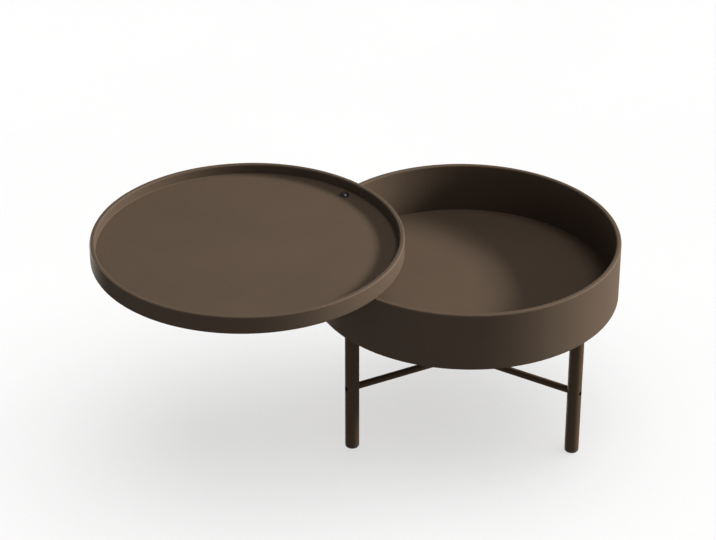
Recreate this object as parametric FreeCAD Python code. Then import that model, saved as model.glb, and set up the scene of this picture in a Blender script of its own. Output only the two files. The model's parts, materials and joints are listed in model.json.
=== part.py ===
import FreeCAD, Part
import math
import os

Vector = FreeCAD.Vector
UP = Vector(0, 0, 1)
DOWN = Vector(0, 0, -1)

# Round coffee table: a shallow tray turns off a storage drum on three legs.
# Millimetres, +Z up. The feet stand on z = 0 and the origin is midway between
# the drum's axis and the axis of the tray, which is swung open.

# Hoops and floors
TABLE_DIAMETER = 600.0
WALL_THICKNESS = 10.0
EDGE_ROUNDING = 3.0
ROUNDING_SHARE = 0.45
UNDER_DRUM_HEIGHT = 294.0
DRUM_DEPTH = 103.0
DRUM_FLOOR_THICKNESS = 12.0
DRUM_FLOOR_RECESS = 3.0
DRUM_REBATE = 4.0
TRAY_DEPTH = 20.0
TRAY_FLOOR_THICKNESS = 9.0
TRAY_LEDGE_HEIGHT = 7.0
TRAY_LEDGE_WIDTH = 6.0
TRAY_GAP = 2.0
BOARD_CLEARANCE = 0.2
GLIDE_COUNT = 6
GLIDE_DIAMETER = 8.0
GLIDE_CLEARANCE = 0.3

# Swing of the tray, in degrees clockwise from closed, and where the pivot stands
PIVOT_ANGLE = 150.0
REST_SWING = 104.0
FULL_SWING = 120.0
PIVOT_CLEARANCE = 1.0

# Spindle, hub plate and cap, which turn with the tray
SPINDLE_DIAMETER = 16.0
COLLAR_STEP = 5.0
COLLAR_HEIGHT = 6.0
HUB_PLATE_THICKNESS = 4.0
HUB_PLATE_MARGIN = 4.0
HUB_SCREW_GAP = 7.0
HUB_SCREW_ANGLES = (-60.0, -20.0, 20.0, 60.0)
PLATE_CLEARANCE = 0.3
CLAMP_SCREW_DIAMETER = 8.0
CLAMP_SCREW_LENGTH = 22.0
CLAMP_HEAD_DIAMETER = 16.0
CLAMP_HEAD_SINK = 0.3
CLAMP_KEY_WIDTH = 5.0
KEY_DEPTH = 3.0
CAP_LIP = 3.0
CAP_HEIGHT = 6.0
CAP_PEG_CLEARANCE = 0.8

# Thrust bearing and bushes
RACE_THICKNESS = 1.5
RACE_BORE_CLEARANCE = 1.5
RACE_SHOULDER = 1.75
BALL_DIAMETER = 4.0
BALL_COUNT = 12
BALL_CLEARANCE = 0.05
BALL_POCKET_CLEARANCE = 0.15
CAGE_THICKNESS = 2.0
CAGE_MARGIN = 0.5
BUSH_LENGTH = 16.0
BUSH_WALL = 3.95
RUNNING_CLEARANCE = 0.05
PRESS_CLEARANCE = 0.01

# Pivot post in the drum, and the bolt that keeps the spindle in it
POST_WALL = 4.0
POST_HEAD_THICKNESS = 4.0
POST_HEAD_MARGIN = 5.5
POST_FLANGE_THICKNESS = 4.0
POST_FLANGE_MARGIN = 5.0
POST_SCREW_GAP = 7.0
POST_SCREW_ANGLES = (-75.0, -25.0, 25.0, 75.0)
RETAINER_DIAMETER = 8.0
RETAINER_LENGTH = 20.0
RETAINER_HEAD_DIAMETER = 13.0
RETAINER_HEAD_HEIGHT = 8.0
RETAINER_KEY_WIDTH = 6.0
RETAINER_WASHER_THICKNESS = 2.0
RETAINER_WASHER_CLEARANCE = 0.5
END_PLAY = 0.3
ACCESS_HOLE_DIAMETER = 20.0
PLUG_LIP = 3.0
PLUG_LIP_THICKNESS = 1.5
PLUG_END_CLEARANCE = 4.0
STOP_PIN_DIAMETER = 5.0
STOP_PIN_GAP = 4.5
STOP_CLEARANCE = 0.4

# Legs and feet
LEG_NAMES = ("rear", "left", "right")
LEG_FIRST_ANGLE = 86.8
LEG_DIAMETER = 28.0
LEG_WALL = 2.0
FOOT_HEIGHT = 6.0
FOOT_ROUNDING = 4.5
FOOT_EDGE = 1.0
FOOT_PLUG_LENGTH = 16.0
LEG_PLATE_INSET = 16.0
LEG_PLATE_MARGIN = 4.0
LEG_PLATE_THICKNESS = 3.0
LEG_SCREW_GAP = 2.0
LEG_SCREWS = 4
LEG_BOSS_WALL = 3.0
LEG_BOSS_COVER = 4.0
LEG_INSERT_LENGTH = 20.0
STUD_DIAMETER = 10.0
STUD_END_CLEARANCE = 1.0
THREAD_CLEARANCE = 0.1

# Wood screws
WOOD_SCREW_DIAMETER = 4.0
WOOD_SCREW_HEAD_DIAMETER = 8.0
WOOD_SCREW_HEAD_HEIGHT = 2.4
WOOD_SCREW_TIP = 2.5
WOOD_SCREW_POINT_DIAMETER = 1.0
WOOD_SCREW_COVER = 2.5
SCREW_CLEARANCE = 0.05
CROSS_WIDTH = 1.0
CROSS_SPAN = 4.4
CROSS_DEPTH = 1.2

# Brace star under the drum
BRACE_HEIGHT = 138.0
BRACE_DIAMETER = 14.0
BRACE_HUB_DIAMETER = 36.0
BRACE_HUB_HEIGHT = 18.0
BRACE_FLAT_DEPTH = 2.0
BRACE_SPIGOT_WALL = 2.1
BRACE_SPIGOT_LENGTH = 8.0
BRACE_BOLT_DIAMETER = 6.0
BRACE_BOLT_ENGAGEMENT = 16.0
BRACE_BOLT_HEAD_DIAMETER = 10.0
BRACE_BOLT_HEAD_HEIGHT = 6.0
BRACE_BOLT_KEY_WIDTH = 5.0
BRACE_ACCESS_CLEARANCE = 0.3
SADDLE_CLEARANCE = 0.05

# Radii of the hoops, and how far their edges can be rounded
outer_radius = TABLE_DIAMETER / 2
inner_radius = outer_radius - WALL_THICKNESS
ledge_radius = inner_radius - TRAY_LEDGE_WIDTH
rebate_radius = inner_radius + DRUM_REBATE
rim_rounding = min(EDGE_ROUNDING, ROUNDING_SHARE * WALL_THICKNESS)
drum_foot_rounding = min(EDGE_ROUNDING, ROUNDING_SHARE * (WALL_THICKNESS - DRUM_REBATE))

# Heights of the drum and the tray
drum_floor_bottom = UNDER_DRUM_HEIGHT + DRUM_FLOOR_RECESS
drum_floor_top = drum_floor_bottom + DRUM_FLOOR_THICKNESS
drum_rim = drum_floor_top + DRUM_DEPTH
tray_bottom = drum_rim + TRAY_GAP
tray_floor_bottom = tray_bottom + TRAY_LEDGE_HEIGHT
tray_floor_top = tray_floor_bottom + TRAY_FLOOR_THICKNESS
tray_rim_top = tray_floor_top + TRAY_DEPTH

# Heights down the spindle, from the tray floor to the retaining bolt
hub_plate_bottom = tray_floor_bottom - HUB_PLATE_THICKNESS
collar_bottom = hub_plate_bottom - COLLAR_HEIGHT
upper_race_bottom = collar_bottom - RACE_THICKNESS
ball_centre_height = upper_race_bottom - BALL_CLEARANCE - BALL_DIAMETER / 2
lower_race_top = ball_centre_height - BALL_DIAMETER / 2 - BALL_CLEARANCE
post_top = lower_race_top - RACE_THICKNESS
washer_bottom = drum_floor_top + RETAINER_HEAD_HEIGHT
spindle_bottom = washer_bottom + RETAINER_WASHER_THICKNESS
lower_bush_bottom = spindle_bottom + END_PLAY
clamp_head_top = tray_floor_top - CLAMP_HEAD_SINK

# Radii about the pivot
spindle_radius = SPINDLE_DIAMETER / 2
collar_radius = spindle_radius + COLLAR_STEP
race_bore_radius = spindle_radius + RACE_BORE_CLEARANCE
race_radius = race_bore_radius + BALL_DIAMETER + 2 * RACE_SHOULDER
ball_circle_radius = (race_bore_radius + race_radius) / 2
bush_bore_radius = spindle_radius + RUNNING_CLEARANCE
bush_radius = bush_bore_radius + BUSH_WALL
post_bore_radius = bush_radius + PRESS_CLEARANCE
post_radius = post_bore_radius + POST_WALL
screw_head_radius = WOOD_SCREW_HEAD_DIAMETER / 2
post_screw_radius = post_radius + POST_SCREW_GAP + screw_head_radius
post_flange_radius = post_screw_radius + screw_head_radius + POST_FLANGE_MARGIN
stop_pin_radius = STOP_PIN_DIAMETER / 2
stop_circle_radius = race_radius + STOP_PIN_GAP + stop_pin_radius
post_head_radius = stop_circle_radius + stop_pin_radius + POST_HEAD_MARGIN
stop_slot_half_width = stop_pin_radius + STOP_CLEARANCE
hub_screw_radius = stop_circle_radius + stop_slot_half_width + HUB_SCREW_GAP + screw_head_radius
hub_plate_radius = hub_screw_radius + screw_head_radius + HUB_PLATE_MARGIN

# Legs and brace
leg_radius = LEG_DIAMETER / 2
leg_bore_radius = leg_radius - LEG_WALL
leg_screw_radius = leg_radius + LEG_SCREW_GAP + screw_head_radius
leg_plate_radius = leg_screw_radius + screw_head_radius + LEG_PLATE_MARGIN
leg_circle_radius = rebate_radius - LEG_PLATE_INSET - leg_plate_radius
leg_top = drum_floor_bottom - LEG_PLATE_THICKNESS
leg_boss_radius = STUD_DIAMETER / 2 + LEG_BOSS_WALL
leg_boss_top = drum_floor_top - LEG_BOSS_COVER
leg_angles = [LEG_FIRST_ANGLE + 360.0 / len(LEG_NAMES) * i for i in range(len(LEG_NAMES))]
brace_flat = BRACE_HUB_DIAMETER / 2 - BRACE_FLAT_DEPTH
brace_spigot_radius = BRACE_DIAMETER / 2 - BRACE_SPIGOT_WALL


def polar(radius, degrees):
    """Point at a radius and an angle from +X."""
    turn = math.radians(degrees)
    return Vector(radius * math.cos(turn), radius * math.sin(turn), 0)


# The pivot is as near the wall as the tray's ledge and the post allow.
pivot_inset = max(TRAY_LEDGE_WIDTH + collar_radius, post_radius) + PIVOT_CLEARANCE
pivot_circle_radius = inner_radius - pivot_inset
drum_from_pivot_angle = PIVOT_ANGLE + 180.0
tray_from_pivot_angle = drum_from_pivot_angle - REST_SWING
opening = polar(pivot_circle_radius, PIVOT_ANGLE) + polar(pivot_circle_radius, tray_from_pivot_angle)
drum_axis = opening * -0.5
tray_axis = opening * 0.5
pivot = drum_axis + polar(pivot_circle_radius, PIVOT_ANGLE)


def cylinder(centre, radius, bottom, top):
    """Upright cylinder between two heights."""
    return Part.makeCylinder(radius, top - bottom, Vector(centre.x, centre.y, bottom))


def ring(centre, radius, bore, bottom, top):
    """Upright ring between two heights."""
    return cylinder(centre, radius, bottom, top).cut(cylinder(centre, bore, bottom, top))


def rod(start, direction, radius, length):
    """Round bar from a point along a direction."""
    return Part.makeCylinder(radius, length, start, direction)


def hexagon(centre, width, bottom, top):
    """Upright hexagonal prism, by its width across flats."""
    corner = width / math.sqrt(3)
    points = [centre + polar(corner, 60.0 * i) + UP * bottom for i in range(7)]
    return Part.Face(Part.makePolygon(points)).extrude(UP * (top - bottom))


def round_edges(shape, rounding, places):
    """Round the circular edges that have a given radius and height."""
    chosen = []
    for edge in shape.Edges:
        if not isinstance(edge.Curve, Part.Circle):
            continue
        for radius, height in places:
            if abs(edge.Curve.Radius - radius) < 1e-6 and abs(edge.Curve.Center.z - height) < 1e-6:
                chosen.append(edge)
    return shape.makeFillet(rounding, chosen)


def group(shapes):
    """Several separate solids in one node."""
    return Part.makeCompound(shapes)


def wood_screw(head, direction, length, clearance=0.0):
    """Countersunk wood screw, or its hole, with its flat head at a point and its tip along a direction."""
    shank = WOOD_SCREW_DIAMETER / 2 + clearance
    point = WOOD_SCREW_POINT_DIAMETER / 2 + clearance
    cone = Part.makeCone(screw_head_radius + clearance, shank, WOOD_SCREW_HEAD_HEIGHT, head, direction)
    body_start = head + direction * WOOD_SCREW_HEAD_HEIGHT
    body_length = length - WOOD_SCREW_HEAD_HEIGHT - WOOD_SCREW_TIP
    body = rod(body_start, direction, shank, body_length)
    tip_start = body_start + direction * body_length
    tip = Part.makeCone(shank, point, WOOD_SCREW_TIP + clearance, tip_start, direction)
    return cone.fuse([body, tip]).removeSplitter()


def cross_recess(head, direction):
    """Cross-shaped driver recess in a screw head."""
    lowest = min(head.z, head.z + direction.z * CROSS_DEPTH)
    blades = []
    for span_x, span_y in ((CROSS_SPAN, CROSS_WIDTH), (CROSS_WIDTH, CROSS_SPAN)):
        corner = Vector(head.x - span_x / 2, head.y - span_y / 2, lowest)
        blades.append(Part.makeBox(span_x, span_y, CROSS_DEPTH, corner))
    return blades[0].fuse(blades[1])


def screw_set(heads, direction, length):
    """Wood screws with driver recesses, and the holes that they need."""
    screws = []
    holes = []
    for head in heads:
        screws.append(wood_screw(head, direction, length).cut(cross_recess(head, direction)))
        holes.append(wood_screw(head, direction, length, SCREW_CLEARANCE))
    return screws, holes


def around(centre, radius, angles, height):
    """Points on a level circle."""
    return [centre + polar(radius, angle) + UP * height for angle in angles]


def drum_pieces():
    """Drum wall, rebated at its foot to stand on the edge of the drum floor."""
    wall = ring(drum_axis, outer_radius, inner_radius, UNDER_DRUM_HEIGHT, drum_rim)
    wall = wall.cut(cylinder(drum_axis, rebate_radius, UNDER_DRUM_HEIGHT, drum_floor_top))
    wall = round_edges(wall, rim_rounding, ((outer_radius, drum_rim), (inner_radius, drum_rim)))
    wall = round_edges(wall, drum_foot_rounding, ((outer_radius, UNDER_DRUM_HEIGHT),))
    floor = cylinder(drum_axis, rebate_radius - BOARD_CLEARANCE, drum_floor_bottom, drum_floor_top)
    return wall, floor


def tray_pieces():
    """Tray rim with the ledge that carries the tray floor, and glide pads under the rim."""
    rim = ring(tray_axis, outer_radius, inner_radius, tray_bottom, tray_rim_top)
    ledge = ring(tray_axis, outer_radius, ledge_radius, tray_bottom, tray_floor_bottom)
    rim = rim.fuse(ledge).removeSplitter()
    rim = round_edges(rim, rim_rounding, (
        (outer_radius, tray_bottom),
        (outer_radius, tray_rim_top),
        (inner_radius, tray_rim_top),
    ))
    floor = cylinder(tray_axis, inner_radius - BOARD_CLEARANCE, tray_floor_bottom, tray_floor_top)
    glide_circle_radius = (ledge_radius + outer_radius) / 2
    glide_bottom = drum_rim + GLIDE_CLEARANCE
    angles = [tray_from_pivot_angle + 360.0 / GLIDE_COUNT * (i + 0.5) for i in range(GLIDE_COUNT)]
    glides = []
    for centre in around(tray_axis, glide_circle_radius, angles, 0.0):
        glides.append(cylinder(centre, GLIDE_DIAMETER / 2, glide_bottom, tray_bottom))
    return rim, floor, group(glides)


def hub_plate_piece():
    """Plate under the tray floor, with the curved slot that limits the swing."""
    plate = ring(pivot, hub_plate_radius, spindle_radius, hub_plate_bottom, tray_floor_bottom)
    reach = ledge_radius - PLATE_CLEARANCE
    plate = plate.common(cylinder(tray_axis, reach, hub_plate_bottom, tray_floor_bottom))
    slot_start = tray_from_pivot_angle - FULL_SWING / 2
    slot_end = tray_from_pivot_angle + FULL_SWING / 2
    base = Vector(pivot.x, pivot.y, hub_plate_bottom)
    sector_radius = stop_circle_radius + stop_slot_half_width
    slot = Part.makeCylinder(sector_radius, HUB_PLATE_THICKNESS, base, UP, FULL_SWING)
    slot.rotate(base, UP, slot_start)
    core_radius = stop_circle_radius - stop_slot_half_width
    slot = slot.cut(cylinder(pivot, core_radius, hub_plate_bottom, tray_floor_bottom))
    for end in around(pivot, stop_circle_radius, (slot_start, slot_end), 0.0):
        slot = slot.fuse(cylinder(end, stop_slot_half_width, hub_plate_bottom, tray_floor_bottom))
    return plate.cut(slot)


def clamp_screw(clearance=0.0):
    """Countersunk machine screw, or its hole, that clamps the tray floor to the spindle."""
    shank = CLAMP_SCREW_DIAMETER / 2 + clearance
    head_radius = CLAMP_HEAD_DIAMETER / 2 + clearance
    cone_height = (CLAMP_HEAD_DIAMETER - CLAMP_SCREW_DIAMETER) / 2
    tip = clamp_head_top - CLAMP_SCREW_LENGTH - clearance
    cone = Part.makeCone(head_radius, shank, cone_height, Vector(pivot.x, pivot.y, clamp_head_top), DOWN)
    body = cylinder(pivot, shank, tip, clamp_head_top - cone_height)
    return cone.fuse(body).removeSplitter()


def clamp_head_sink():
    """Shallow round sink above the clamp screw's head, under the cap."""
    radius = CLAMP_HEAD_DIAMETER / 2 + THREAD_CLEARANCE
    return cylinder(pivot, radius, clamp_head_top, tray_floor_top)


def spindle_pieces():
    """Spindle with its collar, the screws in both of its ends and the retaining washer."""
    bolt_radius = RETAINER_DIAMETER / 2
    bolt_tip = washer_bottom + RETAINER_LENGTH
    hole_radius = bolt_radius + THREAD_CLEARANCE
    spindle = cylinder(pivot, spindle_radius, spindle_bottom, tray_floor_bottom)
    spindle = spindle.fuse(cylinder(pivot, collar_radius, collar_bottom, hub_plate_bottom))
    spindle = spindle.removeSplitter().cut(clamp_screw(THREAD_CLEARANCE))
    spindle = spindle.cut(cylinder(pivot, hole_radius, spindle_bottom, bolt_tip + THREAD_CLEARANCE))

    key_bottom = clamp_head_top - KEY_DEPTH
    screw = clamp_screw().cut(hexagon(pivot, CLAMP_KEY_WIDTH, key_bottom, clamp_head_top))

    bolt = cylinder(pivot, bolt_radius, washer_bottom, bolt_tip)
    bolt = bolt.fuse(cylinder(pivot, RETAINER_HEAD_DIAMETER / 2, drum_floor_top, washer_bottom))
    key_top = drum_floor_top + KEY_DEPTH
    bolt = bolt.removeSplitter().cut(hexagon(pivot, RETAINER_KEY_WIDTH, drum_floor_top, key_top))

    washer_radius = post_bore_radius - RETAINER_WASHER_CLEARANCE
    washer = ring(pivot, washer_radius, hole_radius, washer_bottom, spindle_bottom)
    return spindle, screw, bolt, washer


def pivot_cap_piece():
    """Domed cap on the tray floor, with a peg in the clamp screw's socket."""
    radius = CLAMP_HEAD_DIAMETER / 2 + CAP_LIP
    dome_radius = (radius ** 2 + CAP_HEIGHT ** 2) / (2 * CAP_HEIGHT)
    cap_top = tray_floor_top + CAP_HEIGHT
    dome = Part.makeSphere(dome_radius, Vector(pivot.x, pivot.y, cap_top - dome_radius))
    dome = dome.common(cylinder(pivot, radius, tray_floor_top, cap_top))
    peg_radius = CLAMP_KEY_WIDTH / 2 - THREAD_CLEARANCE
    peg_bottom = clamp_head_top - KEY_DEPTH + CAP_PEG_CLEARANCE
    return dome.fuse(cylinder(pivot, peg_radius, peg_bottom, tray_floor_top)).removeSplitter()


def bearing_pieces():
    """Two flat races, and the balls in their cage between them."""
    upper = ring(pivot, race_radius, race_bore_radius, upper_race_bottom, collar_bottom)
    lower = ring(pivot, race_radius, race_bore_radius, post_top, lower_race_top)
    cage_bottom = ball_centre_height - CAGE_THICKNESS / 2
    cage_top = ball_centre_height + CAGE_THICKNESS / 2
    cage = ring(pivot, race_radius - CAGE_MARGIN, race_bore_radius + CAGE_MARGIN, cage_bottom, cage_top)
    pocket_radius = BALL_DIAMETER / 2 + BALL_POCKET_CLEARANCE
    angles = [360.0 / BALL_COUNT * i for i in range(BALL_COUNT)]
    balls = []
    for centre in around(pivot, ball_circle_radius, angles, ball_centre_height):
        cage = cage.cut(cylinder(centre, pocket_radius, cage_bottom, cage_top))
        balls.append(Part.makeSphere(BALL_DIAMETER / 2, centre))
    return upper, lower, cage, group(balls)


def post_plate(radius, bottom, top):
    """Round plate on the post, trimmed where it would reach the drum wall."""
    plate = ring(pivot, radius, post_radius, bottom, top)
    return plate.common(cylinder(drum_axis, inner_radius - PLATE_CLEARANCE, bottom, top))


def post_pieces():
    """Hollow post on a floor flange, with a head plate, a stop pin and two bushes."""
    tube = ring(pivot, post_radius, post_bore_radius, drum_floor_top, post_top)
    flange = post_plate(post_flange_radius, drum_floor_top, drum_floor_top + POST_FLANGE_THICKNESS)

    head_bottom = post_top - POST_HEAD_THICKNESS
    head = post_plate(post_head_radius, head_bottom, post_top)
    pin_centre = pivot + polar(stop_circle_radius, drum_from_pivot_angle - FULL_SWING / 2)
    head = head.cut(cylinder(pin_centre, stop_pin_radius + PRESS_CLEARANCE, head_bottom, post_top))
    pin = cylinder(pin_centre, stop_pin_radius, head_bottom, tray_floor_bottom - STOP_CLEARANCE)

    upper_bush = ring(pivot, bush_radius, bush_bore_radius, post_top - BUSH_LENGTH, post_top)
    lower_bush_top = lower_bush_bottom + BUSH_LENGTH
    lower_bush = ring(pivot, bush_radius, bush_bore_radius, lower_bush_bottom, lower_bush_top)
    return tube, flange, head, pin, upper_bush, lower_bush


def post_plug_piece():
    """Plug that closes the hole in the drum floor under the spindle."""
    hole_radius = ACCESS_HOLE_DIAMETER / 2
    lip_bottom = drum_floor_bottom - PLUG_LIP_THICKNESS
    stem_top = drum_floor_top - PLUG_END_CLEARANCE
    lip = cylinder(pivot, hole_radius + PLUG_LIP, lip_bottom, drum_floor_bottom)
    stem = cylinder(pivot, hole_radius - THREAD_CLEARANCE, drum_floor_bottom, stem_top)
    return lip.fuse(stem).removeSplitter()


def leg_plate_piece(axis):
    """Round plate under the drum floor, with a threaded boss let into the floor."""
    plate = cylinder(axis, leg_plate_radius, leg_top, drum_floor_bottom)
    plate = plate.fuse(cylinder(axis, leg_boss_radius, drum_floor_bottom, leg_boss_top))
    return plate.removeSplitter().cut(cylinder(axis, STUD_DIAMETER / 2, leg_top, leg_boss_top))


def leg_pieces(axis, angle):
    """Leg tube with its bolt holes, the insert and stud in its top, and its foot glide."""
    outward = polar(1.0, angle)
    bolt_centre = axis + UP * BRACE_HEIGHT
    access_radius = BRACE_BOLT_HEAD_DIAMETER / 2 + BRACE_ACCESS_CLEARANCE
    shank_hole_radius = BRACE_BOLT_DIAMETER / 2 + THREAD_CLEARANCE
    tube = ring(axis, leg_radius, leg_bore_radius, FOOT_HEIGHT, leg_top)
    tube = tube.cut(rod(bolt_centre, outward, access_radius, LEG_DIAMETER))
    tube = tube.cut(rod(bolt_centre, outward * -1, shank_hole_radius, LEG_DIAMETER))

    stud_hole_radius = STUD_DIAMETER / 2
    insert_bottom = leg_top - LEG_INSERT_LENGTH
    insert = ring(axis, leg_bore_radius - PRESS_CLEARANCE, stud_hole_radius, insert_bottom, leg_top)
    stud_bottom = insert_bottom + STUD_END_CLEARANCE
    stud_top = leg_boss_top - STUD_END_CLEARANCE
    stud = cylinder(axis, stud_hole_radius - THREAD_CLEARANCE, stud_bottom, stud_top)

    foot = cylinder(axis, leg_radius, 0.0, FOOT_HEIGHT)
    foot = round_edges(foot, min(FOOT_ROUNDING, FOOT_HEIGHT - FOOT_EDGE), ((leg_radius, 0.0),))
    plug_top = FOOT_HEIGHT + FOOT_PLUG_LENGTH
    foot = foot.fuse(cylinder(axis, leg_bore_radius - THREAD_CLEARANCE, FOOT_HEIGHT, plug_top))
    return tube, insert, stud, foot.removeSplitter()


def brace_hub_piece():
    """Hub with a flat and a spigot for each arm."""
    bottom = BRACE_HEIGHT - BRACE_HUB_HEIGHT / 2
    top = BRACE_HEIGHT + BRACE_HUB_HEIGHT / 2
    centre = drum_axis + UP * BRACE_HEIGHT
    hub = cylinder(drum_axis, BRACE_HUB_DIAMETER / 2, bottom, top)
    for angle in leg_angles:
        outward = polar(1.0, angle)
        flat = centre + outward * brace_flat
        hub = hub.cut(rod(flat, outward, BRACE_HUB_DIAMETER, BRACE_HUB_DIAMETER))
        hub = hub.fuse(rod(centre, outward, brace_spigot_radius, brace_flat + BRACE_SPIGOT_LENGTH))
    return hub.removeSplitter()


def brace_arm(axis, angle):
    """Brace arm from the hub to a leg, shaped to the leg and tapped for its bolt."""
    outward = polar(1.0, angle)
    centre = drum_axis + UP * BRACE_HEIGHT
    length = leg_circle_radius - brace_flat
    arm = rod(centre + outward * brace_flat, outward, BRACE_DIAMETER / 2, length)
    arm = arm.cut(cylinder(axis, leg_radius + SADDLE_CLEARANCE, FOOT_HEIGHT, leg_top))
    socket_radius = brace_spigot_radius + THREAD_CLEARANCE
    socket_end = brace_flat + BRACE_SPIGOT_LENGTH + THREAD_CLEARANCE
    arm = arm.cut(rod(centre, outward, socket_radius, socket_end))
    tapped_radius = BRACE_BOLT_DIAMETER / 2 + THREAD_CLEARANCE
    tapped_end = leg_circle_radius - leg_radius - BRACE_BOLT_ENGAGEMENT - THREAD_CLEARANCE
    return arm.cut(rod(centre + outward * tapped_end, outward, tapped_radius, LEG_DIAMETER))


def brace_bolt(angle):
    """Bolt inside a leg, with its head on the leg's inner wall, that holds the brace arm."""
    outward = polar(1.0, angle)
    centre = drum_axis + UP * BRACE_HEIGHT
    head_radius = BRACE_BOLT_HEAD_DIAMETER / 2
    seat_depth = math.sqrt(leg_bore_radius ** 2 - head_radius ** 2)
    seat = leg_circle_radius - seat_depth + SADDLE_CLEARANCE
    tip = leg_circle_radius - leg_radius - BRACE_BOLT_ENGAGEMENT
    bolt = rod(centre + outward * tip, outward, BRACE_BOLT_DIAMETER / 2, seat - tip)
    bolt = bolt.fuse(rod(centre + outward * seat, outward, head_radius, BRACE_BOLT_HEAD_HEIGHT))
    socket = hexagon(Vector(), BRACE_BOLT_KEY_WIDTH, 0.0, KEY_DEPTH)
    socket.rotate(Vector(), Vector(0, 1, 0), 90.0)
    socket.rotate(Vector(), UP, angle)
    socket.translate(centre + outward * (seat + BRACE_BOLT_HEAD_HEIGHT - KEY_DEPTH))
    return bolt.removeSplitter().cut(socket)


def tray_nodes():
    """What turns with the tray."""
    nodes = {}
    nodes["tray_rim"], floor, nodes["tray_glides"] = tray_pieces()
    angles = [tray_from_pivot_angle + angle for angle in HUB_SCREW_ANGLES]
    heads = around(pivot, hub_screw_radius, angles, hub_plate_bottom)
    length = HUB_PLATE_THICKNESS + TRAY_FLOOR_THICKNESS - WOOD_SCREW_COVER
    screws, holes = screw_set(heads, UP, length)
    nodes["hub_plate"] = hub_plate_piece().cut(holes)
    nodes["hub_plate_screws"] = group(screws)
    nodes["tray_floor"] = floor.cut(holes + [clamp_screw(THREAD_CLEARANCE), clamp_head_sink()])
    spindle, screw, bolt, washer = spindle_pieces()
    nodes["spindle"] = spindle
    nodes["clamp_screw"] = screw
    nodes["retaining_bolt"] = bolt
    nodes["retaining_washer"] = washer
    nodes["pivot_cap"] = pivot_cap_piece()
    return nodes


def bearing_nodes():
    """Thrust bearing between the spindle's collar and the post."""
    upper_race, lower_race, cage, balls = bearing_pieces()
    return {"upper_race": upper_race, "lower_race": lower_race, "ball_cage": cage, "bearing_balls": balls}


def post_nodes():
    """Post and what is fixed to it, with the holes that its screws need in the drum floor."""
    nodes = {}
    tube, flange, head, pin, upper_bush, lower_bush = post_pieces()
    angles = [drum_from_pivot_angle + angle for angle in POST_SCREW_ANGLES]
    heads = around(pivot, post_screw_radius, angles, drum_floor_top + POST_FLANGE_THICKNESS)
    length = POST_FLANGE_THICKNESS + DRUM_FLOOR_THICKNESS - WOOD_SCREW_COVER
    screws, holes = screw_set(heads, DOWN, length)
    nodes["pivot_post"] = tube
    nodes["post_flange"] = flange.cut(holes)
    nodes["post_screws"] = group(screws)
    nodes["post_head"] = head
    nodes["stop_pin"] = pin
    nodes["upper_bush"] = upper_bush
    nodes["lower_bush"] = lower_bush
    nodes["post_plug"] = post_plug_piece()
    holes.append(cylinder(pivot, ACCESS_HOLE_DIAMETER / 2, drum_floor_bottom, drum_floor_top))
    return nodes, holes


def leg_nodes():
    """Legs, brace and their fixings, with the holes that they need in the drum floor."""
    nodes = {}
    floor_holes = []
    all_screws = []
    studs = []
    bolts = []
    length = LEG_PLATE_THICKNESS + DRUM_FLOOR_THICKNESS - WOOD_SCREW_COVER
    for name, angle in zip(LEG_NAMES, leg_angles):
        axis = drum_axis + polar(leg_circle_radius, angle)
        screw_angles = [angle + 360.0 / LEG_SCREWS * (i + 0.5) for i in range(LEG_SCREWS)]
        screws, holes = screw_set(around(axis, leg_screw_radius, screw_angles, leg_top), UP, length)
        boss_hole_radius = leg_boss_radius + THREAD_CLEARANCE
        boss_hole_top = leg_boss_top + THREAD_CLEARANCE
        floor_holes += holes
        floor_holes.append(cylinder(axis, boss_hole_radius, drum_floor_bottom, boss_hole_top))
        all_screws += screws
        tube, insert, stud, foot = leg_pieces(axis, angle)
        nodes["leg_plate_" + name] = leg_plate_piece(axis).cut(holes)
        nodes["leg_" + name] = tube
        nodes["leg_insert_" + name] = insert
        nodes["foot_glide_" + name] = foot
        nodes["brace_arm_" + name] = brace_arm(axis, angle)
        studs.append(stud)
        bolts.append(brace_bolt(angle))
    nodes["leg_plate_screws"] = group(all_screws)
    nodes["leg_studs"] = group(studs)
    nodes["brace_bolts"] = group(bolts)
    nodes["brace_hub"] = brace_hub_piece()
    return nodes, floor_holes


def build_table():
    """All nodes of the table, by name."""
    nodes = tray_nodes()
    nodes.update(bearing_nodes())
    post, post_holes = post_nodes()
    nodes.update(post)
    legs, leg_holes = leg_nodes()
    nodes.update(legs)
    nodes["drum_wall"], drum_floor = drum_pieces()
    nodes["drum_floor"] = drum_floor.cut(post_holes + leg_holes)
    return nodes


os.makedirs("parts", exist_ok=True)
for node_name, node_shape in build_table().items():
    node_shape.exportStep("parts/" + node_name + ".step")
    print(node_name, len(node_shape.Solids), round(node_shape.Volume), node_shape.isValid())
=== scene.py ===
"""Finished pieces of a round swivel coffee table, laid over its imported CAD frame.

Lengths are in metres, in the frame's own axes: +Z up, +X towards the drum, +Y to the back.
"""

import json
import math
from typing import NamedTuple

import bmesh
import bpy
from mathutils import Matrix, Vector


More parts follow.
